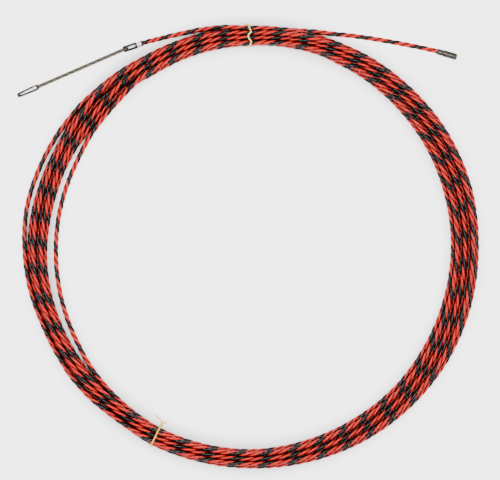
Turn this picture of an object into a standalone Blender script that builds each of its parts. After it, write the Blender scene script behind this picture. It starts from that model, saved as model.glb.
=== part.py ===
"""A fish tape lying in a loose coil, with crimped end fittings and a steel cable leader.

The line is coiled flat on z = 0. Seen from above, +X points right and +Y away from the reader.
Both ends of the line leave the top of the coil on its outer side: the front end goes left to a
slotted fitting that holds the leader, and the rear end goes right to a second fitting of the same
kind. Two wire ties hold the turns together. Angles are counterclockwise from +X.
"""

import math

import bmesh
import bpy
import numpy as np
from mathutils import Matrix, Vector

MM = 0.001
GAP = 0.3 * MM  # clearance kept between touching pieces

# The line and its coil
LINE_DIAMETER = 5.2 * MM
FLOOR_HEIGHT = LINE_DIAMETER / 2  # centre height of a line lying on the floor
COIL_CENTRE = Vector((4.25 * MM, -0.5 * MM, 0.0))
COIL_TOP = 10.4 * MM  # two layers of turns, the upper one nested in the lower one
COIL_CORNER_RADIUS = 2.6 * MM
CORNER_STEPS = 3
STATION_STEP = 3.0  # degrees between the coil's cross-sections

# Angle in degrees, then the inner and outer radius of the bundle of turns in millimetres.
# The two steps are where the line's ends join the outer side of the bundle.
COIL_WIDTHS = (
    (103.05, 199.6, 225.2),
    (99.0, 199.8, 223.8),
    (94.0, 200.0, 221.6),
    (90.0, 200.2, 220.8),
    (81.0, 201.1, 220.8),
    (76.0, 201.7, 223.0),
    (73.5, 201.8, 226.2),
    (73.45, 201.8, 221.0),
    (60.0, 200.8, 223.2),
    (30.0, 199.1, 227.0),
    (0.0, 198.1, 227.4),
    (-30.0, 198.4, 227.6),
    (-60.0, 200.0, 225.2),
    (-90.0, 203.0, 222.6),
    (-117.0, 204.0, 223.2),
    (-135.0, 201.3, 224.2),
    (-150.0, 198.0, 225.0),
    (-165.0, 195.8, 227.9),
    (-186.0, 193.8, 231.2),
    (-200.0, 192.9, 229.3),
    (-210.0, 193.3, 227.0),
    (-225.0, 195.1, 223.2),
    (-240.0, 197.8, 219.2),
    (-256.9, 199.6, 219.6),
)
FRONT_STEP_ANGLE = 103.05
REAR_STEP_ANGLE = 73.5

# The ties, each a plastic-coated wire around the bundle
TIE_DIAMETER = 1.4 * MM
TIE_FLOOR_GAP = 0.05 * MM
TIE_LIFT = TIE_FLOOR_GAP + TIE_DIAMETER + GAP  # how far the turns ride up over a tie
TIE_LIFT_FLAT = 0.8  # degrees to each side in which the turns keep the full lift
TIE_LIFT_REACH = 3.6  # degrees to each side in which the turns come back down
TOP_TIE_ANGLE = 91.0
LOWER_TIE_ANGLE = -117.3
TIE_CORNER_RADIUS = 2.6 * MM
TIE_POINT_SPACING = 1.3 * MM
TIE_TWIST_TURNS = 0.75
TIE_TWIST_LENGTH = 3.0 * MM
TIE_TWIST_RADIUS = (TIE_DIAMETER + GAP) / 2
TIE_TWIST_START = 1.1 * MM  # from the loop to the start of the twist

# Where each tie's ends are twisted together: on the inner or the outer side of the bundle, the
# direction in which the twist runs, and the direction and length of its two tails
TOP_TIE_TWIST = (False, 181.0, ((163.0, 1.6 * MM), (183.0, 1.2 * MM)))
LOWER_TIE_TWIST = (True, 62.7, ((4.0, 3.6 * MM), (131.0, 10.0 * MM)))

# The end fittings: a steel tube crimped on the line, with a slot through it and a rolled-in nose
FITTING_LENGTH = 20.4 * MM
FITTING_RADIUS = 3.3 * MM
FITTING_BORE_RADIUS = 2.8 * MM
NOSE_HOLE_RADIUS = 1.95 * MM
NOSE_WALL = 1.3 * MM
WEB_START = 13.6 * MM
WEB_END = 14.4 * MM
SLEEVE_RADIUS = 3.0 * MM
SLEEVE_BORE_RADIUS = 2.45 * MM
CRIMPED_LINE_FACTOR = 0.82  # the line's radius inside the sleeve, compared with its free radius
SLOT_START = 2.4 * MM
SLOT_END = 12.8 * MM
SLOT_WIDTH = 2.3 * MM
LINE_SEAT_DEPTH = 5.4 * MM  # how far the squeezed line reaches into the sleeve
LINE_SQUEEZE_END = 0.2 * MM  # just inside the mouth the line is still squeezed
LINE_FREE_START = 0.6 * MM  # outside the mouth it has its free radius
FITTING_HEIGHT = FITTING_RADIUS + 0.02 * MM  # the axis of a fitting that lies on the floor

FRONT_NOSE = Vector((-125.0 * MM, 196.06 * MM, FITTING_HEIGHT))
FRONT_FITTING_ANGLE = 18.5  # direction from the nose to the mouth
TAIL_NOSE = Vector((208.75 * MM, 188.5 * MM, FITTING_HEIGHT))
TAIL_FITTING_ANGLE = 163.7
TAIL_FITTING_ROLL = 55.0  # the tail fitting's slot is turned away from straight up

# The leader: a steel cable held in the front fitting by a swaged stop, with a windowed head
CABLE_RADIUS = 1.7 * MM
LEADER_ANGLE = 203.5
STOP_RADIUS = 2.3 * MM
STOP_LENGTH = 3.0 * MM
STOP_START = 1.2 * MM  # from the pivot in the nose hole back to the stop's front face
STOP_CHAMFER = 0.5 * MM
TIP_LENGTH = 23.2 * MM
TIP_REACH = 116.5 * MM  # from the pivot to the end of the tip
TIP_SOCKET_RADIUS = CABLE_RADIUS + GAP
TIP_SOCKET_DEPTH = 3.0 * MM
TIP_WINDOW_START = 3.4 * MM
TIP_WINDOW_END = 19.4 * MM
TIP_WINDOW_WIDTHS = (1.3 * MM, 2.7 * MM)

ROUND_SEGMENTS = 32
SMOOTH_ANGLE = math.radians(40.0)


def direction(angle_degrees):
    """The horizontal unit vector at an angle."""
    angle = math.radians(angle_degrees)
    return Vector((math.cos(angle), math.sin(angle), 0.0))


PIVOT = FRONT_NOSE + direction(FRONT_FITTING_ANGLE) * (NOSE_WALL / 2)


def coil_point(angle_degrees, radius, height):
    """A point of the coil, from its angle, radius and height."""
    point = COIL_CENTRE + direction(angle_degrees) * radius
    point.z = height
    return point


# The free runs of the line, between the coil and the fittings' mouths
FRONT_MOUTH = FRONT_NOSE + direction(FRONT_FITTING_ANGLE) * FITTING_LENGTH
TAIL_MOUTH = TAIL_NOSE + direction(TAIL_FITTING_ANGLE) * FITTING_LENGTH
FRONT_RUN = (
    FRONT_MOUTH + direction(FRONT_FITTING_ANGLE) * 3.0 * MM,
    Vector((-92.0 * MM, 206.3 * MM, 2.8 * MM)),
    Vector((-73.0 * MM, 210.9 * MM, FLOOR_HEIGHT)),
    Vector((-58.5 * MM, 214.0 * MM, FLOOR_HEIGHT)),
    coil_point(FRONT_STEP_ANGLE + 0.09, 222.6 * MM, FLOOR_HEIGHT),
)
REAR_RUN = (
    coil_point(REAR_STEP_ANGLE - 0.24, 224.1 * MM, FLOOR_HEIGHT),
    Vector((82.0 * MM, 212.2 * MM, FLOOR_HEIGHT)),
    Vector((102.5 * MM, 210.1 * MM, FLOOR_HEIGHT)),
    Vector((124.0 * MM, 207.1 * MM, FLOOR_HEIGHT)),
    Vector((143.0 * MM, 203.9 * MM, FLOOR_HEIGHT)),
    Vector((167.0 * MM, 199.3 * MM, 2.8 * MM)),
    TAIL_MOUTH + direction(TAIL_FITTING_ANGLE) * 3.0 * MM,
)


def clear_scene():
    """Removes whatever the scene holds."""
    for old in list(bpy.data.objects):
        bpy.data.objects.remove(old, do_unlink=True)


def new_collection(name):
    """A collection under the scene."""
    collection = bpy.data.collections.new(name)
    bpy.context.scene.collection.children.link(collection)
    return collection


def make_material(name, colour, roughness, metallic):
    """A Principled material."""
    material = bpy.data.materials.new(name)
    material.use_nodes = True
    shader = material.node_tree.nodes["Principled BSDF"]
    shader.inputs["Base Color"].default_value = (*colour, 1.0)
    shader.inputs["Roughness"].default_value = roughness
    shader.inputs["Metallic"].default_value = metallic
    return material


def link_part(collection, name, data, material):
    """An object for a part, with its material."""
    part = bpy.data.objects.new(name, data)
    data.materials.append(material)
    collection.objects.link(part)
    return part


def shade_round(mesh):
    """Smooth shading with sharp edges where faces meet at a clear angle."""
    mesh.shade_smooth()
    mesh.set_sharp_from_angle(angle=SMOOTH_ANGLE)


def catmull_rom(before, start, end, after, t):
    """A point between start and end on a smooth curve through four points."""
    return 0.5 * (
        2.0 * start
        + (end - before) * t
        + (2.0 * before - 5.0 * start + 4.0 * end - after) * t**2
        + (3.0 * start - before - 3.0 * end + after) * t**3
    )


def smooth_route(points, spacing):
    """Points about spacing apart on a smooth curve through the route's points."""
    ends = [2 * points[0] - points[1], *points, 2 * points[-1] - points[-2]]
    route = []
    for i in range(1, len(ends) - 2):
        steps = max(1, round((ends[i + 1] - ends[i]).length / spacing))
        for step in range(steps):
            route.append(catmull_rom(ends[i - 1], ends[i], ends[i + 1], ends[i + 2], step / steps))
    route.append(points[-1].copy())
    return route


def tube(collection, name, points, radius, material, factors=None, resolution=2):
    """A round tube with filled ends along a chain of points; factors scale its radius at each."""
    curve = bpy.data.curves.new(name, "CURVE")
    curve.dimensions = "3D"
    curve.bevel_depth = radius
    curve.bevel_resolution = resolution
    curve.use_fill_caps = True
    spline = curve.splines.new("POLY")
    spline.points.add(len(points) - 1)
    for i, (target, point) in enumerate(zip(spline.points, points)):
        target.co = (*point, 1.0)
        if factors:
            target.radius = factors[i]
    return link_part(collection, name, curve, material)


def turned(collection, name, profile, material):
    """A turned piece: (radius, height) points from axis to axis, down the outer side."""
    mesh = bpy.data.meshes.new(name)
    points = [(radius, 0.0, height) for radius, height in profile]
    mesh.from_pydata(points, [(i, i + 1) for i in range(len(points) - 1)], [])
    part = link_part(collection, name, mesh, material)
    screw = part.modifiers.new("turn", "SCREW")
    screw.steps = ROUND_SEGMENTS
    screw.render_steps = ROUND_SEGMENTS
    screw.use_merge_vertices = True
    screw.merge_threshold = 0.00001
    screw.use_smooth_shade = True
    return part


def slot_cutter(collection, name, start, end, start_width, end_width, depth):
    """A cutter through both sides: a slot with round ends along Z, cut along X."""
    mesh = bpy.data.meshes.new(name)
    shape = bmesh.new()
    for height, width in ((start + start_width / 2, start_width), (end - end_width / 2, end_width)):
        place = Matrix.Translation((0.0, 0.0, height)) @ Matrix.Rotation(math.pi / 2, 4, "Y")
        bmesh.ops.create_cone(
            shape,
            cap_ends=True,
            segments=16,
            radius1=width / 2,
            radius2=width / 2,
            depth=depth,
            matrix=place,
        )
    hull = bmesh.ops.convex_hull(shape, input=list(shape.verts))
    unused = {item for item in hull["geom_interior"] + hull["geom_unused"] if item.is_valid}
    bmesh.ops.delete(shape, geom=[v for v in unused if isinstance(v, bmesh.types.BMVert)], context="VERTS")
    inner = [f for f in shape.faces if f not in set(hull["geom"])]
    bmesh.ops.delete(shape, geom=inner, context="FACES_ONLY")
    bmesh.ops.recalc_face_normals(shape, faces=list(shape.faces))
    shape.to_mesh(mesh)
    shape.free()
    cutter = bpy.data.objects.new(name, mesh)
    cutter.hide_render = True
    cutter.display_type = "WIRE"
    collection.objects.link(cutter)
    return cutter


def cut(part, cutter):
    """Cuts a part with a cutter that is parented to it."""
    cutter.parent = part
    boolean = part.modifiers.new("cut", "BOOLEAN")
    boolean.operation = "DIFFERENCE"
    boolean.solver = "EXACT"
    boolean.object = cutter


def lay_down(part, origin, angle_degrees, roll_degrees=0.0):
    """Lays a turned piece on its side: its +Z points along the angle, and its +X points up."""
    along = direction(angle_degrees)
    up = Vector((0.0, 0.0, 1.0))
    axes = Matrix((up, along.cross(up), along)).transposed()
    turn = Matrix.Rotation(math.radians(roll_degrees), 3, "Z")
    part.location = origin
    part.rotation_euler = (axes @ turn).to_euler()


def bundle_widths(angle):
    """The bundle's inner and outer radius at an angle, read between the listed widths."""
    first = COIL_WIDTHS[0]
    closed = (*COIL_WIDTHS, (first[0] - 360.0, first[1], first[2]))
    clockwise = [-width[0] for width in closed]
    inner = np.interp(-angle, clockwise, [width[1] for width in closed])
    outer = np.interp(-angle, clockwise, [width[2] for width in closed])
    return float(inner) * MM, float(outer) * MM


def lift_at(angle):
    """How far the turns are lifted at an angle, where they ride over a tie."""
    lift = 0.0
    for tie_angle in (TOP_TIE_ANGLE, LOWER_TIE_ANGLE):
        away = abs((angle - tie_angle + 180.0) % 360.0 - 180.0)
        if away < TIE_LIFT_REACH:
            share = min(1.0, (TIE_LIFT_REACH - away) / (TIE_LIFT_REACH - TIE_LIFT_FLAT))
            lift = max(lift, TIE_LIFT * share)
    return lift


def coil_stations():
    """The angles of the coil's cross-sections, going clockwise from the front step."""
    needed = {width[0] for width in COIL_WIDTHS}
    for tie_angle in (TOP_TIE_ANGLE, LOWER_TIE_ANGLE):
        for offset in (TIE_LIFT_FLAT, TIE_LIFT_REACH):
            needed |= {tie_angle - offset, tie_angle + offset}
    count = round(360.0 / STATION_STEP)
    regular = [FRONT_STEP_ANGLE - STATION_STEP * i for i in range(1, count)]
    spaced = [a for a in regular if min(abs(a - b) for b in needed) > STATION_STEP / 4]
    return sorted([*needed, *spaced], reverse=True)


def bundle_section(angle):
    """One cross-section of the coil: a box with rounded corners, as world points."""
    inner, outer = bundle_widths(angle)
    lift = lift_at(angle)
    bottom, top = lift, COIL_TOP + lift
    radius = COIL_CORNER_RADIUS
    corners = (
        (outer - radius, bottom + radius, -90.0),
        (outer - radius, top - radius, 0.0),
        (inner + radius, top - radius, 90.0),
        (inner + radius, bottom + radius, 180.0),
    )
    section = []
    for corner_radius, corner_height, start in corners:
        for step in range(CORNER_STEPS + 1):
            turn = math.radians(start + 90.0 * step / CORNER_STEPS)
            away = corner_radius + radius * math.cos(turn)
            height = corner_height + radius * math.sin(turn)
            section.append(coil_point(angle, away, height))
    return section


def build_coil(parts, material):
    """The coiled stretch of the line, as one closed solid of the bundle's outer shape."""
    mesh = bpy.data.meshes.new("coil_of_line")
    shape = bmesh.new()
    rings = [[shape.verts.new(point) for point in bundle_section(angle)] for angle in coil_stations()]
    for ring, following in zip(rings, rings[1:] + rings[:1]):
        for i in range(len(ring)):
            j = (i + 1) % len(ring)
            shape.faces.new((ring[i], ring[j], following[j], following[i]))
    bmesh.ops.recalc_face_normals(shape, faces=list(shape.faces))
    shape.to_mesh(mesh)
    shape.free()
    shade_round(mesh)
    link_part(parts, "coil_of_line", mesh, material)


def seated_end(mouth, outward):
    """The line's squeezed end inside a fitting's sleeve, from the inside out."""
    return [
        mouth - outward * LINE_SEAT_DEPTH,
        mouth - outward * LINE_SQUEEZE_END,
        mouth + outward * LINE_FREE_START,
    ]


def build_runs(parts, material):
    """The two free runs of the line; inside a crimped sleeve the line is squeezed thinner."""
    spacing = 2.5 * LINE_DIAMETER
    squeezed = [CRIMPED_LINE_FACTOR, CRIMPED_LINE_FACTOR]
    front = seated_end(FRONT_MOUTH, direction(FRONT_FITTING_ANGLE)) + smooth_route(FRONT_RUN, spacing)
    factors = squeezed + [1.0] * (len(front) - 2)
    tube(parts, "line_front_run", front, LINE_DIAMETER / 2, material, factors)

    rear_end = seated_end(TAIL_MOUTH, direction(TAIL_FITTING_ANGLE))
    rear = smooth_route(REAR_RUN, spacing) + rear_end[::-1]
    factors = [1.0] * (len(rear) - 2) + squeezed
    tube(parts, "line_rear_run", rear, LINE_DIAMETER / 2, material, factors)


def build_fitting(parts, cutters, name, nose, angle, roll, material):
    """One end fitting: slotted tube, web and crimped sleeve, with its nose at the origin."""
    mouth_radius = SLEEVE_BORE_RADIUS + 0.2 * MM
    profile = (
        (0.0, WEB_END),
        (SLEEVE_BORE_RADIUS, WEB_END),
        (SLEEVE_BORE_RADIUS, FITTING_LENGTH - 0.6 * MM),
        (mouth_radius, FITTING_LENGTH),
        (SLEEVE_RADIUS, FITTING_LENGTH),
        (SLEEVE_RADIUS + 0.2 * MM, FITTING_LENGTH - 0.3 * MM),
        (SLEEVE_RADIUS + 0.2 * MM, FITTING_LENGTH - 1.0 * MM),
        (SLEEVE_RADIUS, FITTING_LENGTH - 1.4 * MM),
        (SLEEVE_RADIUS, WEB_END + 0.4 * MM),
        (FITTING_RADIUS, WEB_START),
        (FITTING_RADIUS, 1.0 * MM),
        (FITTING_RADIUS - 0.3 * MM, 0.4 * MM),
        (FITTING_RADIUS - 0.8 * MM, 0.0),
        (NOSE_HOLE_RADIUS, 0.0),
        (NOSE_HOLE_RADIUS, NOSE_WALL),
        (FITTING_BORE_RADIUS, NOSE_WALL),
        (FITTING_BORE_RADIUS, WEB_START),
        (0.0, WEB_START),
    )
    fitting = turned(parts, name, profile, material)
    depth = 3 * FITTING_RADIUS
    slot = slot_cutter(cutters, name + "_slot", SLOT_START, SLOT_END, SLOT_WIDTH, SLOT_WIDTH, depth)
    cut(fitting, slot)
    lay_down(fitting, nose, angle, roll)


def build_leader(parts, cutters, steel, cable_material):
    """The leader, with every origin at its pivot in the front fitting's nose hole."""
    outward = direction(LEADER_ANGLE)

    stop_profile = (
        (0.0, STOP_LENGTH),
        (STOP_RADIUS - STOP_CHAMFER, STOP_LENGTH),
        (STOP_RADIUS, STOP_LENGTH - STOP_CHAMFER),
        (STOP_RADIUS, STOP_CHAMFER),
        (STOP_RADIUS - STOP_CHAMFER, 0.0),
        (0.0, 0.0),
    )
    start = STOP_START
    profile = [(radius, -start - STOP_LENGTH + height) for radius, height in stop_profile]
    stop = turned(parts, "leader_stop", profile, steel)
    lay_down(stop, PIVOT, LEADER_ANGLE)

    socket_floor = TIP_REACH - TIP_LENGTH + TIP_SOCKET_DEPTH
    first = -(start - GAP)
    last = socket_floor - GAP
    steps = round((last - first) / (5 * CABLE_RADIUS))
    chain = [outward * (first + (last - first) * i / steps) for i in range(steps + 1)]
    cable = tube(parts, "leader_cable", chain, CABLE_RADIUS, cable_material)
    cable.location = PIVOT

    neck = TIP_REACH - TIP_LENGTH
    outline = (
        (0.0, TIP_LENGTH),
        (1.3 * MM, TIP_LENGTH - 0.25 * MM),
        (2.05 * MM, TIP_LENGTH - 0.9 * MM),
        (2.4 * MM, TIP_LENGTH - 2.0 * MM),
        (2.55 * MM, TIP_LENGTH - 5.0 * MM),
        (2.95 * MM, 8.6 * MM),
        (3.05 * MM, 5.6 * MM),
        (3.05 * MM, 3.8 * MM),
        (2.95 * MM, 2.6 * MM),
        (2.7 * MM, 1.3 * MM),
        (2.45 * MM, 0.0),
        (TIP_SOCKET_RADIUS, 0.0),
        (TIP_SOCKET_RADIUS, TIP_SOCKET_DEPTH),
        (0.0, TIP_SOCKET_DEPTH),
    )
    profile = [(radius, neck + height) for radius, height in outline]
    tip = turned(parts, "leader_tip_eye", profile, steel)
    window = slot_cutter(
        cutters,
        "leader_tip_window",
        TIP_REACH - TIP_WINDOW_END,
        TIP_REACH - TIP_WINDOW_START,
        TIP_WINDOW_WIDTHS[1],
        TIP_WINDOW_WIDTHS[0],
        3 * FITTING_RADIUS,
    )
    cut(tip, window)
    lay_down(tip, PIVOT, LEADER_ANGLE)


def tie_loop(angle):
    """A tie's way around the bundle: (radius, height) points, open at the outer bottom corner."""
    inner, outer = bundle_widths(angle)
    reach = GAP + TIE_DIAMETER / 2
    low = TIE_FLOOR_GAP + TIE_DIAMETER / 2
    high = COIL_TOP + TIE_LIFT + reach
    left, right = inner - reach, outer + reach
    bend = TIE_CORNER_RADIUS
    corners = (
        (left + bend, low + bend, 270.0, 180.0),
        (left + bend, high - bend, 180.0, 90.0),
        (right - bend, high - bend, 90.0, 0.0),
    )
    loop = [(right - bend, low), ((left + right) / 2, low)]
    for centre_radius, centre_height, start, end in corners:
        for step in range(5):
            turn = math.radians(start + (end - start) * step / 4)
            loop.append((centre_radius + bend * math.cos(turn), centre_height + bend * math.sin(turn)))
    return loop


def twisted_end(start, axis, phase, tail):
    """One end of a tie: its share of the twist, then its tail, which comes down to the floor."""
    up = Vector((0.0, 0.0, 1.0))
    side = up.cross(axis)
    steps = 6
    points = []
    for step in range(steps + 1):
        turn = phase + 2 * math.pi * TIE_TWIST_TURNS * step / steps
        around = (side * math.cos(turn) + up * math.sin(turn)) * TIE_TWIST_RADIUS
        points.append(start + axis * TIE_TWIST_LENGTH * step / steps + around)
    tail_angle, tail_length = tail
    for share in (0.5, 1.0):
        point = points[steps] + direction(tail_angle) * tail_length * share
        point.z += (TIE_FLOOR_GAP + TIE_DIAMETER / 2 - point.z) * share
        points.append(point)
    return points


def build_tie(parts, name, angle, twist, material):
    """A wire tie: once around the bundle, then its two ends twisted together beside it."""
    inside, twist_angle, tails = twist
    inner, outer = bundle_widths(angle)
    loop = tie_loop(angle)
    edge = outer + GAP + TIE_DIAMETER / 2
    if inside:
        loop = [(inner + outer - radius, height) for radius, height in loop]
        edge = inner - GAP - TIE_DIAMETER / 2
    axis = direction(twist_angle)
    twist_height = TIE_FLOOR_GAP + TIE_DIAMETER / 2 + TIE_TWIST_RADIUS
    start = coil_point(angle, edge, twist_height) + axis * TIE_TWIST_START
    lower_end = twisted_end(start, axis, -math.pi / 2, tails[0])
    upper_end = twisted_end(start, axis, math.pi / 2, tails[1])
    around = [coil_point(angle, radius, height) for radius, height in loop]
    chain = lower_end[::-1] + around + upper_end
    tube(parts, name, smooth_route(chain, TIE_POINT_SPACING), TIE_DIAMETER / 2, material)


def main():
    """Builds every part."""
    clear_scene()
    parts = new_collection("fish_tape_coil")
    cutters = new_collection("cutters")
    line = make_material("line_plastic", (0.70, 0.10, 0.07), 0.35, 0.0)
    steel = make_material("fitting_steel", (0.55, 0.53, 0.50), 0.30, 1.0)
    cable = make_material("cable_steel", (0.42, 0.39, 0.31), 0.45, 1.0)
    tie = make_material("tie_plastic", (0.90, 0.78, 0.35), 0.50, 0.0)
    build_coil(parts, line)
    build_runs(parts, line)
    front = ("front_end_fitting", FRONT_NOSE, FRONT_FITTING_ANGLE, 0.0)
    tail = ("tail_end_fitting", TAIL_NOSE, TAIL_FITTING_ANGLE, TAIL_FITTING_ROLL)
    for fitting in (front, tail):
        build_fitting(parts, cutters, *fitting, steel)
    build_leader(parts, cutters, steel, cable)
    build_tie(parts, "top_tie", TOP_TIE_ANGLE, TOP_TIE_TWIST, tie)
    build_tie(parts, "lower_tie", LOWER_TIE_ANGLE, LOWER_TIE_TWIST, tie)


main()
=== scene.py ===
"""The look of a coiled three-strand fish tape with its steel leader, built around the CAD frame."""

import math

import bmesh
import bpy
import numpy as np
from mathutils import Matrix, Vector


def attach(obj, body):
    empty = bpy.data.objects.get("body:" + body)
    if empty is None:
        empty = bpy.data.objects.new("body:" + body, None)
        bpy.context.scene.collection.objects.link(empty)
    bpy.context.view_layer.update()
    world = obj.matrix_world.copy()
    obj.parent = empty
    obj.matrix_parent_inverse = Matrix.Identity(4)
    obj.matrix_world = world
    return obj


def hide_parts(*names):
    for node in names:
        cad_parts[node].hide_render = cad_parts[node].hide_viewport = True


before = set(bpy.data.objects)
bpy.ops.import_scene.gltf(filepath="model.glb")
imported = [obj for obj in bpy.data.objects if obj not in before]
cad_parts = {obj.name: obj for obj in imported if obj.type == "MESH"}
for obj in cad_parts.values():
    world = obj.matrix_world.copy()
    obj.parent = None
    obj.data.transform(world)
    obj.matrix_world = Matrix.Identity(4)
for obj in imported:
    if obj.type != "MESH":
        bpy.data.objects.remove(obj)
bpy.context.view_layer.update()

MM = 0.001
UP = np.array((0.0, 0.0, 1.0))

# The camera looks straight down on the coil
VIEW_CENTRE = (1.75, 5.5)  # mm
VIEW_WIDTH = 500.0  # mm
CAMERA_HEIGHT = 2200.0  # mm
SENSOR_WIDTH = 36.0

# The line: three strands laid together, in millimetres and degrees. Angles are clockwise from +X.
LINE_DIAMETER = 5.2
LINE_RADIUS = LINE_DIAMETER / 2
LAY_LENGTH = 27.5
LAYS_PER_TURN = 48
STRAND_SPREAD = 0.41  # from the line's middle to a strand's, as a share of the line's radius
STRAND_STEPS = (-1.0, -0.7, -0.42, -0.14, 0.14, 0.42, 0.7)
PATCH_ANGLE = -112.5  # where the dark strand is on top, and again once a lay from there
COIL_CENTRE = np.array((4.25, -0.5))
FRONT_ANGLE = -103.05
REAR_ANGLE = -73.26
TURNS = 7
STRAND_MATERIALS = np.array((1, 0, 0))  # the first strand is dark, and two are red
STREAK_SCALE = (60.0, 36.0, 1.0)
STATION_SPACING = 2.05
SEAT_TAPER = 2.0  # the line is squeezed in the fittings' seats, and swells to its size over this

# How the turns settle: each sweep draws them to their places and pushes them apart where they
# touch. In the first sweeps they also sink onto each other, and all but the last smooth them.
STATIONS_PER_TURN = 240
SWEEPS = 240
SINKING_SWEEPS = 180
SMOOTHING_SWEEPS = 215
UPPER_HEIGHT = 4.6  # how far above the lower turns the upper ones start
PULL = 0.2
SINK = 0.1
SMOOTHING = 0.25
TOUCHING = 4.75  # the distance between two lines that lie against each other
WANDER = 0.12
FIXED_STATIONS = 7  # at the coil's start, where the front run joins it
TIE_ANGLES = (-91.0, 117.3)
TIE_LIFT = 1.15
TIE_LIFT_FLAT = 0.8
TIE_LIFT_REACH = 4.2

# The free runs at both ends of the line, as the CAD model has them
FRONT_NOSE = np.array((-125.0, 196.06, 3.32))
FRONT_FITTING_ANGLE = -18.5
TAIL_NOSE = np.array((208.75, 188.5, 3.32))
TAIL_FITTING_ANGLE = -163.7
FITTING_LENGTH = 20.4
SEAT_DEPTH = 5.2
NOSE_WALL = 1.3
SLEEVE_BAND = (14.4, 18.8)  # the front fitting's shiny sleeve, from its nose, painted near white: a painted highlight
RUN_STEPS = 8  # stations between two points of a run

# The leader's cable, and the twist ties
LEADER_DIRECTION = -203.5
CABLE_DIAMETER = 3.7  # over the wires' crests
CABLE_START = -0.9  # from the pivot
CABLE_END = 96.0
CABLE_LAY = 15.0
CABLE_SPACING = 0.45
WIRE_SPREAD = 0.64
WIRE_STEPS = (-1.0, -0.55, -0.18, 0.18, 0.55)
WIRE_MATERIALS = np.array((0, 1, 0, 0, 1, 0))
NECK_BAND = (94.8, 97.6)  # the bright flat on the pulling head's neck, from the front fitting's nose
TIE_HALF_WIDTH = 0.75
TIE_STRIP_THICKNESS = 0.26
TIE_WIRE_RADIUS = 0.42
TIE_LOW = 0.62
TIE_TWIST_TURNS = 0.75
TIE_TWIST_STEPS = 5
TIE_TWIST_LENGTH = 3.0
TIE_TWIST_RADIUS = 0.5
TIE_STEPS = 5  # stations between two points of a tie
FLOOR_GAP = 0.2
EDGE_ROUNDING = 0.14


def direction(clockwise):
    """The horizontal unit vector at an angle, measured clockwise from +X."""
    angle = math.radians(clockwise)
    return np.array((math.cos(angle), -math.sin(angle), 0.0))


def coil_point(clockwise, radius, height):
    """A point of the coil in millimetres."""
    flat = direction(clockwise)[:2] * radius + COIL_CENTRE
    return np.array((flat[0], flat[1], height))


FRONT_MOUTH = FRONT_NOSE + direction(FRONT_FITTING_ANGLE) * FITTING_LENGTH
TAIL_MOUTH = TAIL_NOSE + direction(TAIL_FITTING_ANGLE) * FITTING_LENGTH
FRONT_RUN = (
    FRONT_MOUTH - direction(FRONT_FITTING_ANGLE) * SEAT_DEPTH,
    FRONT_MOUTH,
    FRONT_MOUTH + direction(FRONT_FITTING_ANGLE) * 3.0,
    np.array((-92.0, 206.3, 2.8)),
    np.array((-73.0, 210.9, 2.6)),
    np.array((-58.5, 214.0, 2.6)),
)
REAR_RUN = (
    np.array((82.0, 212.2, 2.6)),
    np.array((102.5, 210.1, 2.6)),
    np.array((124.0, 207.1, 2.6)),
    np.array((143.0, 203.9, 2.6)),
    np.array((167.0, 199.3, 2.8)),
    TAIL_MOUTH + direction(TAIL_FITTING_ANGLE) * 3.0,
    TAIL_MOUTH,
    TAIL_MOUTH - direction(TAIL_FITTING_ANGLE) * SEAT_DEPTH,
)

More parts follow.
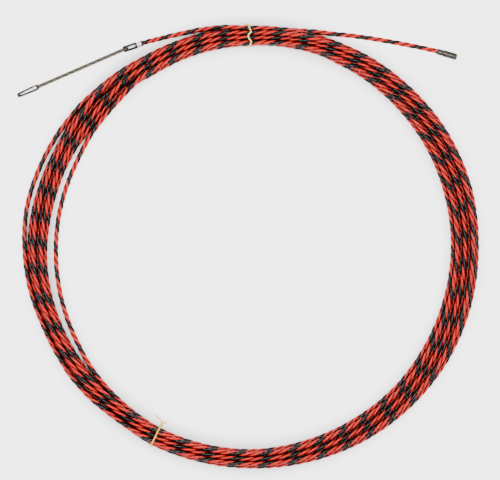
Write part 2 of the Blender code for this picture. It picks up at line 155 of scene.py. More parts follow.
# How the turns lie in the bundle. Each row has a clockwise angle, the radii of turns 1 to 7, and a
# letter for each turn: L lies on the floor, H lies on the turns below it.
LAYOUT = (
    (-103.05, (222.6, 212.0, 207.1, 202.2, 204.7, 209.6, 214.5), "LLLLHHH"),
    (-100.0, (221.6, 212.0, 207.1, 202.2, 204.6, 209.5, 214.4), "LLLLHHH"),
    (-97.0, (220.4, 212.2, 207.3, 202.4, 204.4, 209.3, 214.2), "HLLLHHH"),
    (-94.0, (218.8, 212.6, 207.6, 202.6, 203.6, 208.5, 213.6), "HLLLHHH"),
    (-91.0, (217.8, 212.9, 207.8, 202.7, 202.9, 207.8, 212.8), "HLLLHHH"),
    (-84.0, (218.3, 213.3, 208.6, 203.8, 204.3, 209.2, 213.8), "HLLLHHH"),
    (-79.0, (218.6, 213.8, 209.0, 204.2, 206.0, 210.8, 215.2), "HLLLHHH"),
    (-75.0, (218.6, 214.1, 209.3, 204.5, 206.9, 211.7, 215.9), "HLLLHHH"),
    (-70.0, (219.1, 214.3, 209.5, 204.7, 207.1, 211.9, 216.7), "LLLLHHH"),
    (-65.0, (219.6, 214.2, 208.8, 203.4, 206.1, 211.5, 216.9), "LLLLHHH"),
    (-60.0, (220.6, 214.9, 209.1, 203.4, 206.3, 212.0, 217.7), "LLLLHHH"),
    (-45.0, (222.3, 215.6, 209.0, 202.3, 205.6, 212.3, 219.0), "LLLLHHH"),
    (-30.0, (224.5, 216.9, 209.3, 201.7, 205.5, 213.1, 220.7), "LLLLHHH"),
    (-15.0, (225.4, 217.2, 209.0, 200.9, 205.0, 213.1, 221.3), "LLLLHHH"),
    (0.0, (224.5, 216.6, 208.7, 200.8, 204.8, 212.6, 220.5), "LLLLHHH"),
    (15.0, (224.9, 216.7, 208.6, 200.4, 204.5, 212.6, 220.8), "LLLLHHH"),
    (30.0, (225.1, 217.0, 209.0, 200.9, 205.0, 213.0, 221.0), "LLLLHHH"),
    (45.0, (224.0, 216.7, 209.5, 202.2, 205.9, 213.1, 220.4), "LLLLHHH"),
    (60.0, (223.0, 216.1, 209.3, 202.4, 205.8, 212.7, 219.5), "LLLLHHH"),
    (75.0, (221.3, 215.4, 209.4, 203.5, 206.5, 212.4, 218.3), "LLLLHHH"),
    (90.0, (220.1, 215.2, 210.3, 205.4, 207.8, 212.7, 217.6), "LLLLHHH"),
    (105.0, (220.2, 215.4, 210.7, 205.9, 208.3, 213.1, 217.9), "LLLLHHH"),
    (117.0, (220.9, 216.0, 211.1, 206.2, 208.7, 213.6, 218.4), "LLLLHHH"),
    (130.0, (219.0, 214.1, 209.2, 204.4, 208.4, 213.4, 219.6), "LLLLHHH"),
    (138.0, (218.5, 213.6, 208.7, 203.2, 209.8, 214.8, 222.0), "LLLLHHH"),
    (145.0, (218.4, 213.5, 208.6, 202.0, 211.0, 215.9, 223.3), "LLLLHHL"),
    (150.0, (218.6, 213.6, 208.5, 200.4, 211.0, 216.1, 223.0), "LLLLHHL"),
    (160.0, (219.3, 213.9, 208.6, 199.0, 211.3, 216.6, 224.0), "LLLLHHL"),
    (165.0, (220.9, 214.7, 208.7, 198.4, 211.7, 217.8, 225.6), "LLLLHHL"),
    (170.0, (222.2, 215.2, 208.5, 197.8, 211.8, 218.7, 226.9), "LLLLHHL"),
    (175.0, (223.0, 215.5, 208.2, 197.3, 211.8, 219.2, 227.7), "LLLLHHL"),
    (180.0, (222.9, 215.0, 207.4, 196.8, 211.2, 219.0, 228.4), "LLLLHHL"),
    (185.0, (222.5, 214.3, 206.4, 196.5, 210.3, 218.4, 229.2), "LLLLHHL"),
    (190.0, (221.7, 213.5, 205.4, 196.2, 209.4, 217.6, 229.4), "LLLLHHL"),
    (195.0, (220.4, 212.5, 204.7, 195.8, 208.6, 216.5, 228.6), "LLLLHHL"),
    (200.0, (219.4, 211.8, 204.2, 195.5, 208.0, 215.6, 227.4), "LLLLHHL"),
    (205.0, (218.5, 211.0, 203.7, 195.3, 207.3, 214.8, 226.3), "LLLLHHL"),
    (210.0, (218.1, 210.6, 202.9, 195.8, 206.7, 214.4, 225.2), "LLLLHHL"),
    (215.0, (218.7, 210.7, 201.6, 196.8, 206.2, 214.6, 223.7), "LLLLHHL"),
    (219.0, (218.1, 211.9, 201.7, 197.0, 206.8, 215.3, 222.9), "LLLLHHL"),
    (223.0, (216.5, 211.8, 201.9, 197.3, 206.8, 216.8, 221.2), "LLLLHHL"),
    (226.0, (215.2, 210.5, 202.5, 197.8, 206.6, 217.4, 220.4), "LLLLHHL"),
    (229.5, (213.3, 208.2, 203.5, 198.8, 208.2, 216.4, 219.6), "LLLLHHL"),
    (233.0, (212.4, 206.9, 202.3, 200.2, 209.8, 215.6, 218.9), "LLLHHHL"),
    (237.0, (211.4, 205.6, 200.5, 202.2, 208.5, 214.5, 217.7), "LLLHHHL"),
    (240.0, (211.2, 205.5, 199.9, 202.7, 208.3, 214.0, 217.0), "LLLHHHL"),
    (250.0, (211.6, 206.5, 201.3, 203.9, 209.0, 214.2, 216.8), "LLLHHHL"),
    (256.95, (212.0, 207.1, 202.2, 204.7, 209.6, 214.5, 216.9), "LLLHHHL"),
)
# The line's last stretch, from the end of turn 7 to where it leaves the coil
LAST_STRETCH = (
    (-103.05, 216.9),
    (-97.0, 217.2),
    (-91.0, 218.0),
    (-84.0, 218.2),
    (-79.0, 219.8),
    (-76.0, 221.7),
    (-73.26, 224.0),
)
# How far the dark patches are from even spacing round the coil: (angle, shift) in degrees
PATCH_SHIFTS = (
    (-112.0, 0.0),
    (-60.0, -0.9),
    (-20.0, -2.3),
    (0.0, -2.3),
    (35.0, -1.5),
    (50.0, -1.8),
    (72.0, -4.0),
    (90.0, -3.5),
    (115.0, -2.2),
    (145.0, -0.8),
    (160.0, 0.4),
    (174.0, 1.4),
    (190.0, 0.5),
    (200.0, 0.0),
    (257.0, 0.0),
)
# On the right the turns' patches drift apart: degrees for turns 1 to 7
TURN_DRIFTS = (1.0, -0.8, 0.0, -3.0, 0.6, -0.6, -2.2)
DRIFT_CENTRE = 2.0
DRIFT_REACH = 55.0
# The two turns that lie apart on the left have their own: (from, to, degrees) for turns 4 and 7
LEFT_DRIFTS = {3: (150.0, 226.0, -1.9), 6: (150.0, 222.0, -0.6)}
LEFT_DRIFT_BLEND = 14.0
# Before this angle the first turn's patches are shifted, by up to a degree, towards the front run
JOIN_ANGLE = -82.0
JOIN_REACH = 16.0
REAR_SHIFT = 2.0  # mm that the patches of the rear run lie further along
FRONT_SHIFT = 8.0  # mm that the patch next to the front fitting lies nearer to the coil
FRONT_SHIFT_REACH = 29.0  # mm from the line's front end

# The floor glows, but not round the coil's bundle, so that no glow falls on the line; the darker
# floor round the bundle is a painted shadow
GLOW = 2.6
BUNDLE_RADIUS = 212.0
GLOW_START = 6.0  # mm from the bundle's middle
GLOW_END = 24.0
CREVICE_REACH = 6.0  # how near a neighbour has to be to shade a spot, in millimetres


def catmull_rom(points, per_span):
    """A smooth curve through the points, with per_span steps between each two."""
    padded = np.vstack((2 * points[0] - points[1], points, 2 * points[-1] - points[-2]))
    t = np.arange(per_span)[:, None] / per_span
    spans = []
    for i in range(1, len(padded) - 2):
        before, start, end, after = padded[i - 1 : i + 3]
        spans.append(
            0.5
            * (
                2 * start
                + (end - before) * t
                + (2 * before - 5 * start + 4 * end - after) * t**2
                + (3 * start - before - 3 * end + after) * t**3
            )
        )
    return np.vstack((*spans, points[-1:]))


def arc_lengths(points):
    """The distance along the points, from the first."""
    return np.concatenate(([0.0], np.cumsum(np.linalg.norm(np.diff(points, axis=0), axis=1))))


def tie_lift(clockwise):
    """How far the turns ride up over a tie at each angle."""
    lift = np.zeros_like(clockwise)
    for tie in TIE_ANGLES:
        away = np.abs((clockwise - tie + 180.0) % 360.0 - 180.0)
        share = np.clip((TIE_LIFT_REACH - away) / (TIE_LIFT_REACH - TIE_LIFT_FLAT), 0.0, 1.0)
        lift = np.maximum(lift, TIE_LIFT * share * share * (3 - 2 * share))
    return lift


def coil_path():
    """The coiled stretch: clockwise angle, radius and height at every station."""
    step = 360.0 / STATIONS_PER_TURN
    last_count = int((REAR_ANGLE - FRONT_ANGLE) / step) + 1
    count = TURNS * STATIONS_PER_TURN + last_count
    travelled = np.arange(count) * step
    turn = np.minimum((travelled / 360.0).astype(int), TURNS)
    clockwise = FRONT_ANGLE + travelled - 360.0 * turn
    keys = [row[0] for row in LAYOUT]
    target = np.zeros(count)
    raised = np.zeros(count)
    for k in range(TURNS):
        here = turn == k
        target[here] = np.interp(clockwise[here], keys, [row[1][k] for row in LAYOUT])
        raised[here] = np.interp(clockwise[here], keys, [row[2][k] == "H" for row in LAYOUT])
    here = turn == TURNS
    target[here] = np.interp(clockwise[here], *zip(*LAST_STRETCH))
    floor = LINE_RADIUS + tie_lift(clockwise)

    rng = np.random.default_rng(7)
    wander = np.zeros(count)
    for waves in (1.3, 2.6, 4.1):
        phase = rng.uniform(0.0, 2 * math.pi)
        wander += WANDER * np.sin(np.radians(travelled) * waves + phase)
    target[FIXED_STATIONS:-last_count] += wander[FIXED_STATIONS:-last_count]

    radius = target.copy()
    height = floor + UPPER_HEIGHT * raised
    pairs = [(a, b) for a in range(TURNS + 1) for b in range(a)]
    for sweep in range(SWEEPS):
        radius += PULL * (target - radius)
        if sweep < SINKING_SWEEPS:
            height -= SINK
        if sweep < SMOOTHING_SWEEPS:
            for values in (radius, height):
                values[2:-2] += SMOOTHING * (
                    (values[1:-3] + values[3:-1]) / 3
                    + (values[:-4] + values[4:]) / 6
                    - values[2:-2]
                )
        for a, b in pairs:
            size = min(count - a * STATIONS_PER_TURN, STATIONS_PER_TURN)
            one = slice(a * STATIONS_PER_TURN, a * STATIONS_PER_TURN + size)
            other = slice(b * STATIONS_PER_TURN, b * STATIONS_PER_TURN + size)
            across = radius[one] - radius[other]
            rise = height[one] - height[other]
            apart = np.maximum(np.hypot(across, rise), 0.01)
            push = np.clip(TOUCHING - apart, 0.0, 2.0) / apart / 2
            # A line that lies on others is held up by them, and hardly spreads them
            stacked = np.clip((np.abs(rise) - 0.8) / 1.2, 0.0, 1.0)
            sideways = across * push * (1 - 0.9 * stacked)
            radius[one] += sideways
            radius[other] -= sideways
            free = np.sqrt(np.maximum(TOUCHING**2 - across**2, 0.0)) - np.abs(rise)
            lift = stacked * np.clip(free, 0.0, 0.5)
            height[one] += np.where(rise > 0, lift, 0.0) + (1 - stacked) * rise * push
            height[other] += np.where(rise > 0, 0.0, lift) - (1 - stacked) * rise * push
        height = np.maximum(height, floor)
    return FRONT_ANGLE + travelled, radius, height


def turn_of(travelled_angle):
    """Which turn, 0 to 7, each total angle belongs to."""
    return np.clip(((travelled_angle - FRONT_ANGLE) / 360.0).astype(int), 0, TURNS)


def lay_phase(travelled_angle):
    """The turn of the dark strand from straight up, in radians, along the coil."""
    turn = turn_of(travelled_angle)
    clockwise = travelled_angle - 360.0 * turn
    shift = np.interp(clockwise, *zip(*PATCH_SHIFTS))
    window = np.clip(1.0 - np.abs(clockwise - DRIFT_CENTRE) / DRIFT_REACH, 0.0, 1.0)
    window = window * window * (3 - 2 * window)
    drift = np.array((*TURN_DRIFTS, 0.0))[turn] * window
    for k, (start, end, amount) in LEFT_DRIFTS.items():
        rise = np.clip((clockwise - start) / LEFT_DRIFT_BLEND, 0.0, 1.0)
        fall = np.clip((end - clockwise) / LEFT_DRIFT_BLEND, 0.0, 1.0)
        drift = drift + amount * np.minimum(rise, fall) * (turn == k)
    joining = np.clip((JOIN_ANGLE - clockwise) / JOIN_REACH, 0.0, 1.0) * (turn == 0)
    lay_angle = 360.0 / LAYS_PER_TURN
    return -2 * math.pi * (clockwise - PATCH_ANGLE - shift - drift + joining) / lay_angle


def line_route():
    """The whole line in millimetres: its points and the turn of its dark strand at each."""
    angles, radius, height = coil_path()
    flat = np.stack((np.cos(np.radians(angles)), -np.sin(np.radians(angles))), axis=1)
    coil = np.column_stack((flat * radius[:, None] + COIL_CENTRE, height))
    front = catmull_rom(np.vstack((*FRONT_RUN, coil[:6:5])), RUN_STEPS)[:-RUN_STEPS]
    rear = catmull_rom(np.vstack((coil[-6::5], *REAR_RUN)), RUN_STEPS)[RUN_STEPS + 1 :]
    coil_phase = np.unwrap(lay_phase(angles))
    front_along = arc_lengths(np.vstack((front, coil[:1])))
    drawn_in = FRONT_SHIFT * np.clip(
        (FRONT_SHIFT_REACH - front_along[:-1]) / (FRONT_SHIFT_REACH - SEAT_DEPTH), 0.0, 1.0
    )
    to_coil = front_along[-1] - front_along[:-1] + drawn_in
    front_phase = coil_phase[0] + 2 * math.pi * to_coil / LAY_LENGTH
    rear_along = arc_lengths(np.vstack((coil[-1:], rear)))
    held_back = REAR_SHIFT * np.minimum(rear_along[1:] / LAY_LENGTH, 1.0)
    rear_phase = coil_phase[-1] - 2 * math.pi * (rear_along[1:] - held_back) / LAY_LENGTH
    points = np.vstack((front, coil, rear))
    # The smooth curves of the runs would dip a little into the floor
    points[:, 2] = np.maximum(points[:, 2], LINE_RADIUS)
    phase = np.concatenate((front_phase, coil_phase, rear_phase))
    return points, phase


def respaced(points, values, spacing):
    """Points and values again, evenly spaced along the points."""
    along = arc_lengths(points)
    count = round(along[-1] / spacing) + 1
    at = np.linspace(0.0, along[-1], count)
    spaced = np.stack([np.interp(at, along, points[:, k]) for k in range(3)], axis=1)
    return spaced, np.interp(at, along, values), at


def stranded_mesh(name, route, section, strand_of, scale, materials, strand_materials):
    """A twisted line as one closed mesh.

    route holds its points, their phases and how far along they are. section holds the points of its
    cross-section as (across, up) pairs, strand_of the strand that each of its sides belongs to, and
    scale the section's size at each station.
    """
    points, phase, along = route
    count, sides = len(points), len(section)
    tangent = np.gradient(points, axis=0)
    tangent /= np.linalg.norm(tangent, axis=1)[:, None]
    up = UP - tangent * (tangent @ UP)[:, None]
    up /= np.linalg.norm(up, axis=1)[:, None]
    side = np.cross(tangent, up)
    cos, sin = np.cos(phase)[:, None, None], np.sin(phase)[:, None, None]
    top = section[None, :, 1, None]
    beside = section[None, :, 0, None]
    turned_up = top * cos - beside * sin
    turned_side = top * sin + beside * cos
    ring = points[:, None] + scale[:, None, None] * (
        turned_up * up[:, None] + turned_side * side[:, None]
    )
    vertices = np.vstack((ring.reshape(-1, 3), points[:1], points[-1:])) * MM
    first, last = count * sides, count * sides + 1

    i = np.arange(count - 1)[:, None] * sides
    j = np.arange(sides)[None]
    following = (j + 1) % sides
    quads = np.stack((i + j, i + sides + j, i + sides + following, i + following), axis=2)
    quads = quads.reshape(-1, 4)
    faces = quads.tolist()
    for k in range(sides):
        faces.append((first, k, (k + 1) % sides))
        faces.append((last, (count - 1) * sides + (k + 1) % sides, (count - 1) * sides + k))
    mesh = bpy.data.meshes.new(name)
    mesh.from_pydata(vertices.tolist(), [], faces)
    for material in materials:
        mesh.materials.append(material)
    strand = np.tile(strand_of, count - 1)
    slots = np.concatenate((strand_materials[strand], np.repeat(strand_materials[strand_of], 2)))
    mesh.polygons.foreach_set("material_index", slots.astype(np.int32))

    # The texture coordinates run along each strand, and around it
    layer = mesh.uv_layers.new(name="strand")
    uv = np.zeros((len(mesh.loops), 2), np.float32)
    around = np.arange(sides + 1) / sides
    u0, u1 = along[:-1, None] * np.ones(sides), along[1:, None] * np.ones(sides)
    v0, v1 = around[:-1] * np.ones((count - 1, 1)), around[1:] * np.ones((count - 1, 1))
    uv[: quads.size, 0] = np.stack((u0, u1, u1, u0), axis=2).ravel() * MM
    uv[: quads.size, 1] = np.stack((v0, v0, v1, v1), axis=2).ravel()
    layer.data.foreach_set("uv", uv.ravel())
    mesh.shade_smooth()
    mesh.set_sharp_from_angle(angle=math.radians(62.0))
    mesh.validate()
    part = bpy.data.objects.new(name, mesh)
    bpy.context.scene.collection.objects.link(part)
    return part


def lobed_section(lobes, radius, centre_share, steps):
    """The outline of round strands laid together, and the strand that each side belongs to.

    steps holds where a strand's points are, as shares of the way from its crest to its groove.
    """
    centre = radius * centre_share
    lobe_radius = radius - centre
    half = math.pi / lobes
    # Where two neighbouring strands meet, seen from the middle of the line
    reach = centre * math.cos(half)
    meet = reach + math.sqrt(max(lobe_radius**2 - centre**2 * math.sin(half) ** 2, 0.0))
    edge = math.atan2(meet * math.sin(half), meet * math.cos(half) - centre)
    points, owners = [], []
    for lobe in range(lobes):
        middle = 2 * math.pi * lobe / lobes
        for step in steps:
            turn = edge * step
            out = centre + lobe_radius * math.cos(turn)
            beside = lobe_radius * math.sin(turn)
            points.append(
                (
                    out * math.sin(middle) + beside * math.cos(middle),
                    out * math.cos(middle) - beside * math.sin(middle),
                )
            )
            owners.append(lobe)
    return np.array(points), np.array(owners)


# ---------------------------------------------------------------- materials


def new_material(name):
    """A material with its node tree, its shader and a way to add nodes."""
    material = bpy.data.materials.new(name)
    material.use_nodes = True
    tree = material.node_tree
    shader = tree.nodes["Principled BSDF"]

    def add(kind, inputs=None, **settings):
        node = tree.nodes.new(kind)
        for key, value in settings.items():
            setattr(node, key, value)
        for key, value in (inputs or {}).items():
            if isinstance(value, bpy.types.NodeSocket):
                tree.links.new(value, node.inputs[key])
            else:
                node.inputs[key].default_value = value
        return node

    return material, tree, shader, add


def colour_ramp(add, factor, stops):
    """A ramp through (position, colour) stops, from a factor socket."""
    ramp = add("ShaderNodeValToRGB", {"Fac": factor})
    elements = ramp.color_ramp.elements
    while len(elements) < len(stops):
        elements.new(0.5)
    for element, (position, colour) in zip(elements, stops):
        element.position = position
        element.color = (*colour, 1.0)
    return ramp.outputs["Color"]


def mapped(add, value, start, end, low=0.0, high=1.0, interpolation="SMOOTHSTEP"):
    """A socket that runs from low to high while the value runs from start to end."""
    node = add(
        "ShaderNodeMapRange",
        {"Value": value, "From Min": start, "From Max": end, "To Min": low, "To Max": high},
        interpolation_type=interpolation,
    )
    return node.outputs["Result"]


def computed(add, operation, *values):
    """The result of a maths node."""
    return add("ShaderNodeMath", dict(enumerate(values)), operation=operation).outputs["Value"]


def blended(add, factor, one, other):
    """A mix of two colours, each of them a socket or a plain colour."""
    one, other = (
        colour if isinstance(colour, bpy.types.NodeSocket) else (*colour, 1.0)
        for colour in (one, other)
    )
    node = add("ShaderNodeMix", {"Factor": factor, 6: one, 7: other}, data_type="RGBA")
    return node.outputs[2]


def strand_material(name, groove, dark, light, roughness, gloss):
    """Extruded plastic strand: streaks drawn out along it, a soft gloss, and painted shade in its
    grooves and where neighbouring turns touch.
    """
    material, tree, shader, add = new_material(name)
    coordinates = add("ShaderNodeUVMap", uv_map="strand").outputs["UV"]
    stretched = add("ShaderNodeVectorMath", {0: coordinates, 1: STREAK_SCALE}, operation="MULTIPLY")
    noise = add(
        "ShaderNodeTexNoise",
        {"Vector": stretched.outputs["Vector"], "Scale": 1.0, "Detail": 3.0, "Roughness": 0.6},
    )
    streaks = noise.outputs["Fac"]
    colour = colour_ramp(add, streaks, ((0.30, dark), (0.70, light)))
    # The texture's V runs from 0 to 1 over the strands, and the dark one has the first third
    around = add("ShaderNodeSeparateXYZ", {"Vector": coordinates}).outputs["Y"]
    # The red strands are painted darker towards their grooves, most beside the dark strand: painted
    # shade
    from_red_groove = computed(add, "ABSOLUTE", computed(add, "SUBTRACT", around, 2 / 3))
    beside_dark = mapped(add, from_red_groove, 0.262, 0.305, 0.0, 0.95)
    between_reds = mapped(add, from_red_groove, 0.012, 0.085, 0.85, 0.0)
    in_groove = computed(add, "MAXIMUM", beside_dark, between_reds)
    grooved = blended(add, in_groove, colour, groove)
    # Painted shade where neighbouring turns touch, found by ambient occlusion
    closeness = add(
        "ShaderNodeAmbientOcclusion", {"Distance": CREVICE_REACH * MM}, samples=8, only_local=True
    )
    openness = mapped(add, closeness.outputs["AO"], 0.52, 0.97)
    tree.links.new(blended(add, openness, groove, grooved), shader.inputs["Base Color"])
    shine = mapped(add, streaks, 0.3, 0.7, roughness + 0.06, roughness - 0.06, "LINEAR")
    tree.links.new(shine, shader.inputs["Roughness"])
    bump = add("ShaderNodeBump", {"Height": streaks, "Strength": 0.35, "Distance": 0.00012})
    tree.links.new(bump.outputs["Normal"], shader.inputs["Normal"])
    shader.inputs["Specular IOR Level"].default_value = gloss
    return material


def band_share(add, coordinates, point, axis, ends, half_width):
    """How far a spot lies inside a band on a round piece, from 0 to 1, with soft edges.

    The band runs along the axis between two distances from the point, all in millimetres. A CAD
    piece's own coordinates are the frame's, in metres.
    """
    start, end = ends
    middle = point + axis * (start + end) / 2
    shares = []
    for way, half, softness in (
        (axis, (end - start) / 2, 0.3),
        (np.cross(UP, axis), half_width, 0.25),
    ):
        dot = add("ShaderNodeVectorMath", {0: coordinates, 1: tuple(way)}, operation="DOT_PRODUCT")
        past = computed(add, "SUBTRACT", dot.outputs["Value"], float(middle @ way) * MM)
        away = computed(add, "ABSOLUTE", past)
        shares.append(mapped(add, away, (half - softness) * MM, (half + softness) * MM, 1.0, 0.0))
    return computed(add, "MULTIPLY", *shares)


def stained_material(name, dark, light, roughness, metallic, bright_band=None):
    """Stained metal or plastic with a fine grain and a varying gloss.

    The last argument, if given, is a band painted bright: a point, a direction, its ends, half its
    width and its colour.
    """
    material, tree, shader, add = new_material(name)
    coordinates = add("ShaderNodeTexCoord").outputs["Object"]
    noise = add(
        "ShaderNodeTexNoise",
        {"Vector": coordinates, "Scale": 420.0, "Detail": 4.0, "Roughness": 0.6},
    )
    stains = noise.outputs["Fac"]
    grain = add("ShaderNodeTexNoise", {"Vector": coordinates, "Scale": 4200.0, "Detail": 2.0})
    colour = colour_ramp(add, stains, ((0.32, dark), (0.68, light)))
    # A band painted bright over the stains, such as the sleeve's painted highlight
    if bright_band:
        *band, bright = bright_band
        colour = blended(add, band_share(add, coordinates, *band), colour, bright)
    tree.links.new(colour, shader.inputs["Base Color"])
    shine = mapped(add, stains, 0.3, 0.7, roughness + 0.12, roughness - 0.06, "LINEAR")
    tree.links.new(shine, shader.inputs["Roughness"])
    bump = add(
        "ShaderNodeBump",
        {"Height": grain.outputs["Fac"], "Strength": 0.25, "Distance": 0.00005},
    )
    tree.links.new(bump.outputs["Normal"], shader.inputs["Normal"])
    shader.inputs["Metallic"].default_value = metallic
    return material


# Each strand's first colour is its painted shade, used in the grooves and where turns touch
RED = strand_material(
    "strand_red", (0.03, 0.001, 0.001), (0.52, 0.010, 0.008), (0.84, 0.038, 0.028), 0.36, 0.12
)
BLACK = strand_material(
    "strand_black", (0.002, 0.002, 0.002), (0.005, 0.006, 0.006), (0.014, 0.017, 0.017), 0.36, 0.26
)
STEEL = stained_material(
    "steel_turned",
    (0.014, 0.011, 0.009),
    (0.075, 0.063, 0.056),
    0.5,
    0.6,
    # The sleeve's band is painted near white: a painted highlight on its shinier metal
    (FRONT_NOSE, direction(FRONT_FITTING_ANGLE), SLEEVE_BAND, 6.0, (0.92, 0.92, 0.90)),
)
TAIL_STEEL = stained_material("steel_tail", (0.02, 0.017, 0.012), (0.105, 0.095, 0.075), 0.45, 0.6)
TIP_STEEL = stained_material(
    "steel_tip",
    (0.014, 0.0125, 0.009),
    (0.065, 0.06, 0.05),
    0.5,
    0.6,
    (FRONT_NOSE, direction(LEADER_DIRECTION), NECK_BAND, 1.4, (0.95, 0.93, 0.86)),
)
WIRES = (
    stained_material("steel_wire_light", (0.125, 0.107, 0.074), (0.225, 0.196, 0.14), 0.55, 0.5),
    stained_material("steel_wire_dark", (0.058, 0.048, 0.033), (0.115, 0.10, 0.072), 0.55, 0.5),
)
BROWNED = stained_material("steel_browned", (0.04, 0.02, 0.014), (0.11, 0.06, 0.04), 0.5, 0.5)
PALE_TIE = stained_material("tie_pale", (1.0, 0.80, 0.10), (1.0, 0.91, 0.22), 0.42, 0.0)
YELLOW_TIE = stained_material("tie_yellow", (0.98, 0.55, 0.008), (1.0, 0.70, 0.03), 0.40, 0.0)


# ---------------------------------------------------------------- the line


def build_line():
    """The twisted line from the front fitting, round the coil, to the tail fitting."""
    route = respaced(*line_route(), STATION_SPACING)
    points, _, along = route
    section, owners = lobed_section(3, LINE_RADIUS, STRAND_SPREAD, STRAND_STEPS)
    from_end = np.minimum(along, along[-1] - along)
    scale = np.interp(from_end, (0.0, SEAT_DEPTH, SEAT_DEPTH + SEAT_TAPER), (0.9, 0.92, 1.0))
    line = stranded_mesh(
        "twisted_line",
        route,
        section,
        owners,
        scale,
        (RED, BLACK),
        STRAND_MATERIALS,
    )
    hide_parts("coil_of_line", "line_front_run", "line_rear_run")
    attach(line, "coil")


# ---------------------------------------------------------------- the leader cable


def build_cable():
    """The stranded wire cable, straight from the stop in the front fitting to the pulling head."""
    outward = direction(LEADER_DIRECTION)
    pivot = FRONT_NOSE + direction(FRONT_FITTING_ANGLE) * NOSE_WALL / 2
    length = CABLE_END - CABLE_START
    at = np.linspace(CABLE_START, CABLE_END, round(length / CABLE_SPACING) + 1)
    points = pivot + outward * at[:, None]
    section, owners = lobed_section(6, CABLE_DIAMETER / 2, WIRE_SPREAD, WIRE_STEPS)
    cable = stranded_mesh(
        "stranded_cable",
        (points, 2 * math.pi * at / CABLE_LAY, at - CABLE_START),
        section,
        owners,
        np.ones(len(at)),
        WIRES,
        WIRE_MATERIALS,
    )
    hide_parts("leader_cable")
    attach(cable, "leader")


# ---------------------------------------------------------------- the ties


def swept_mesh(name, points, section, side, middle, material):
    """A closed mesh: the section swept along the points, its first axis along side at the middle."""
    count, sides = len(points), len(section)
    tangent = np.gradient(points, axis=0)
    tangent /= np.linalg.norm(tangent, axis=1)[:, None]
    across = np.zeros((count, 3))
    across[middle] = side
    for step in (1, -1):
        k = middle
        while 0 <= k < count:
            straight = across[k] - tangent[k] * (tangent[k] @ across[k])
            across[k] = straight / np.linalg.norm(straight)
            if 0 <= k + step < count:
                across[k + step] = across[k]
            k += step
    normal = np.cross(tangent, across)
    ring = (
        points[:, None]
        + section[None, :, 0, None] * across[:, None]
        + section[None, :, 1, None] * normal[:, None]
    )
    shape = bmesh.new()
    rings = [[shape.verts.new(v * MM) for v in row] for row in ring]
    for one, other in zip(rings, rings[1:]):
        for k in range(sides):
            following = (k + 1) % sides
            shape.faces.new((one[k], one[following], other[following], other[k]))
    shape.faces.new(rings[0][::-1])
    shape.faces.new(rings[-1])
    bmesh.ops.recalc_face_normals(shape, faces=shape.faces)
    mesh = bpy.data.meshes.new(name)
    shape.to_mesh(mesh)
    shape.free()
    mesh.materials.append(material)
    mesh.shade_smooth()
    mesh.set_sharp_from_angle(angle=math.radians(70.0))
    part = bpy.data.objects.new(name, mesh)
    bpy.context.scene.collection.objects.link(part)
    return part


def tie_section():
    """A twist tie's outline: a flat strip of plastic with a wire down its middle."""
    half = (
        (TIE_HALF_WIDTH, 0.0),
        (TIE_HALF_WIDTH - 0.06, TIE_STRIP_THICKNESS / 2),
        (TIE_WIRE_RADIUS + 0.10, TIE_STRIP_THICKNESS / 2 + 0.03),
        (TIE_WIRE_RADIUS * 0.72, TIE_WIRE_RADIUS * 0.72),
        (0.0, TIE_WIRE_RADIUS),
    )
    upper = [*half, *((-x, y) for x, y in half[-2::-1])]
    lower = [(x, -y) for x, y in upper[-2:0:-1]]
    return np.array(upper + lower)


def tie_end(start, axis, phase, tail):
    """One end of a tie, out from the loop: its share of the twist, then its tail."""
    side = np.cross(UP, axis)
    points = []
    for step in range(1, TIE_TWIST_STEPS + 1):
        share = step / TIE_TWIST_STEPS
        turn = phase + 2 * math.pi * TIE_TWIST_TURNS * share
        around = (side * math.cos(turn) + UP * math.sin(turn)) * TIE_TWIST_RADIUS
        points.append(start + axis * TIE_TWIST_LENGTH * share + around)
    tail_angle, tail_length, tail_height = tail
    end = points[-1]
    for share in (0.5, 1.0):
        point = end + direction(tail_angle) * tail_length * share
        point[2] += (tail_height - end[2]) * share
        points.append(point)
    return points


def build_tie(name, node, clockwise, near, far, top, wave, twist_angle, tails, material):
    """A twist tie round the bundle, from a ring of points and two tails.

    near is the radius on the side where its ends are twisted, far the other side's, and top the
    height of its upper stretch. wave is how far the points there stray to the side. A tail has an
    angle, a length and the height of its end.
    """
    outward = 1.0 if near > far else -1.0
    low = TIE_LOW
    axis = direction(twist_angle)
    start = coil_point(clockwise, near + outward * 1.0, 1.35) + axis * 1.1
    around = (
        (near - outward * 1.2, low, 0.0),
        ((near + far) / 2, low, 0.0),
        (far + outward * 1.4, low, 0.0),
        (far - outward * 0.35, low + 0.7, 0.0),
        (far - outward * 0.75, low + 2.4, 0.0),
        (far - outward * 0.75, top - 3.2, 0.0),
        (far - outward * 0.1, top - 1.1, wave[0]),
        (far + outward * 1.9, top - 0.1, wave[1]),
    )
    across = [
        (far + (near - far) * share, top, offset)
        for share, offset in zip(np.linspace(0.2, 0.8, len(wave) - 4), wave[2:-2])
    ]
    down = (
        (near - outward * 1.9, top - 0.1, wave[-2]),
        (near + outward * 0.1, top - 1.1, wave[-1]),
        (near + outward * 0.75, top - 3.2, 0.0),
        (near + outward * 0.8, 4.0, 0.0),
    )
    tangential = direction(clockwise + 90.0)
    loop = [
        coil_point(clockwise, radius, height) + tangential * offset
        for radius, height, offset in (*around, *across, *down)
    ]
    lower = tie_end(start, axis, -math.pi / 2, tails[0])
    upper = tie_end(start, axis, math.pi / 2, tails[1])
    control = np.array((*lower[::-1], *loop, *upper))
    points = catmull_rom(control, TIE_STEPS)
    middle = (len(lower) + len(around) + len(across) // 2) * TIE_STEPS
    tie = swept_mesh(name, points, tie_section(), tangential, middle, material)
    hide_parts(node)
    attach(tie, "coil")


# ---------------------------------------------------------------- the whole object


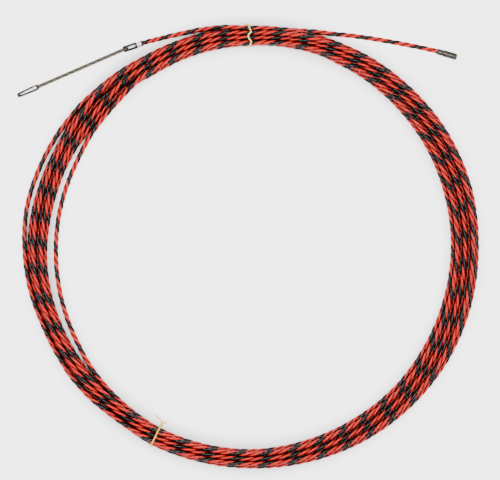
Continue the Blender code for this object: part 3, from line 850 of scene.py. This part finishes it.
def finish_piece(node, material):
    """A piece that keeps its CAD shape: its material and its rounded edges."""
    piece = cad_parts[node]
    piece.data.materials.clear()
    piece.data.materials.append(material)
    rounded = piece.modifiers.new("rounded_edges", "BEVEL")
    rounded.width = EDGE_ROUNDING * MM
    rounded.segments = 2
    rounded.limit_method = "ANGLE"
    rounded.angle_limit = math.radians(38.0)
    rounded.harden_normals = True


build_line()
build_cable()
build_tie(
    "top_twist_tie",
    "top_tie",
    clockwise=-90.75,
    near=220.9,
    far=200.2,
    top=12.35,
    wave=(0.4, 0.9, 1.2, -1.1, -1.2, 1.3, 0.1, -0.5, -0.9),
    twist_angle=-181.0,
    tails=((-163.0, 1.8, 0.6), (-140.0, 1.6, 2.0)),
    material=PALE_TIE,
)
build_tie(
    "lower_twist_tie",
    "lower_tie",
    clockwise=117.0,
    near=203.5,
    far=223.4,
    top=11.9,
    wave=(0.0, 0.1, 0.2, 0.0, -0.1, 0.1, 0.2, 0.1, 0.0),
    twist_angle=-62.7,
    tails=((-4.0, 3.6, 0.6), (-131.0, 9.5, 0.6)),
    material=YELLOW_TIE,
)

finish_piece("front_end_fitting", STEEL)
finish_piece("tail_end_fitting", TAIL_STEEL)
finish_piece("leader_tip_eye", TIP_STEEL)
finish_piece("leader_stop", BROWNED)


# ---------------------------------------------------------------- floor, light and camera


def build_stage():
    """A white floor that glows, with painted shadow round the coil's bundle and between lines that
    touch, soft light from all around and the camera.
    """
    floor_mesh = bpy.data.meshes.new("floor")
    shape = bmesh.new()
    bmesh.ops.create_grid(shape, x_segments=1, y_segments=1, size=4.0)
    shape.to_mesh(floor_mesh)
    shape.free()
    floor = bpy.data.objects.new("floor", floor_mesh)
    floor.location.z = -FLOOR_GAP * MM
    material, tree, shader, add = new_material("floor_white")
    # Painted shadow: hardly any light reaches the floor between two lines that touch, so it is
    # painted dark there
    crevice = add("ShaderNodeAmbientOcclusion", {"Distance": CREVICE_REACH * MM}, samples=12)
    openness = mapped(add, crevice.outputs["AO"], 0.22, 0.5)
    paint = blended(add, openness, (0.02, 0.008, 0.008), (0.97, 0.965, 0.97))
    tree.links.new(paint, shader.inputs["Base Color"])
    tree.links.new(paint, shader.inputs["Emission Color"])
    shader.inputs["Roughness"].default_value = 0.9
    shader.inputs["Specular IOR Level"].default_value = 0.1
    # The glow fades to nothing round the bundle: a painted shadow on the floor there
    coordinates = add("ShaderNodeTexCoord").outputs["Object"]
    centre = (COIL_CENTRE[0] * MM, COIL_CENTRE[1] * MM, 0.0)
    from_centre = add("ShaderNodeVectorMath", {0: coordinates, 1: centre}, operation="SUBTRACT")
    distance = add("ShaderNodeVectorMath", {0: from_centre.outputs["Vector"]}, operation="LENGTH")
    past_bundle = computed(add, "SUBTRACT", distance.outputs["Value"], BUNDLE_RADIUS * MM)
    from_bundle = computed(add, "ABSOLUTE", past_bundle)
    glow = mapped(add, from_bundle, GLOW_START * MM, GLOW_END * MM, 0.0, GLOW)
    tree.links.new(glow, shader.inputs["Emission Strength"])
    floor_mesh.materials.append(material)
    bpy.context.scene.collection.objects.link(floor)

    world = bpy.data.worlds.new("studio")
    world.use_nodes = True
    background = world.node_tree.nodes["Background"]
    background.inputs["Color"].default_value = (1.0, 1.0, 1.0, 1.0)
    background.inputs["Strength"].default_value = 0.12
    bpy.context.scene.world = world

    for name, place, size, power in (
        ("over", (0.0, 0.1, 2.6), 0.9, 100.0),
        ("left", (-1.5, 0.4, 1.3), 0.8, 12.0),
        ("right", (1.5, 0.0, 1.3), 0.8, 9.0),
    ):
        light = bpy.data.lights.new(name, "AREA")
        light.shape = "SQUARE"
        light.size = size
        light.energy = power
        lamp = bpy.data.objects.new(name, light)
        lamp.location = place
        lamp.rotation_euler = (-Vector(place)).to_track_quat("-Z", "Y").to_euler()
        bpy.context.scene.collection.objects.link(lamp)

    camera_data = bpy.data.cameras.new("camera")
    camera_data.sensor_width = SENSOR_WIDTH
    camera_data.lens = SENSOR_WIDTH * (CAMERA_HEIGHT - LINE_DIAMETER) / VIEW_WIDTH
    camera_data.clip_start = 0.1
    camera_data.clip_end = 20.0
    camera = bpy.data.objects.new("camera", camera_data)
    camera.location = (VIEW_CENTRE[0] * MM, VIEW_CENTRE[1] * MM, CAMERA_HEIGHT * MM)
    bpy.context.scene.collection.objects.link(camera)
    bpy.context.scene.camera = camera


build_stage()
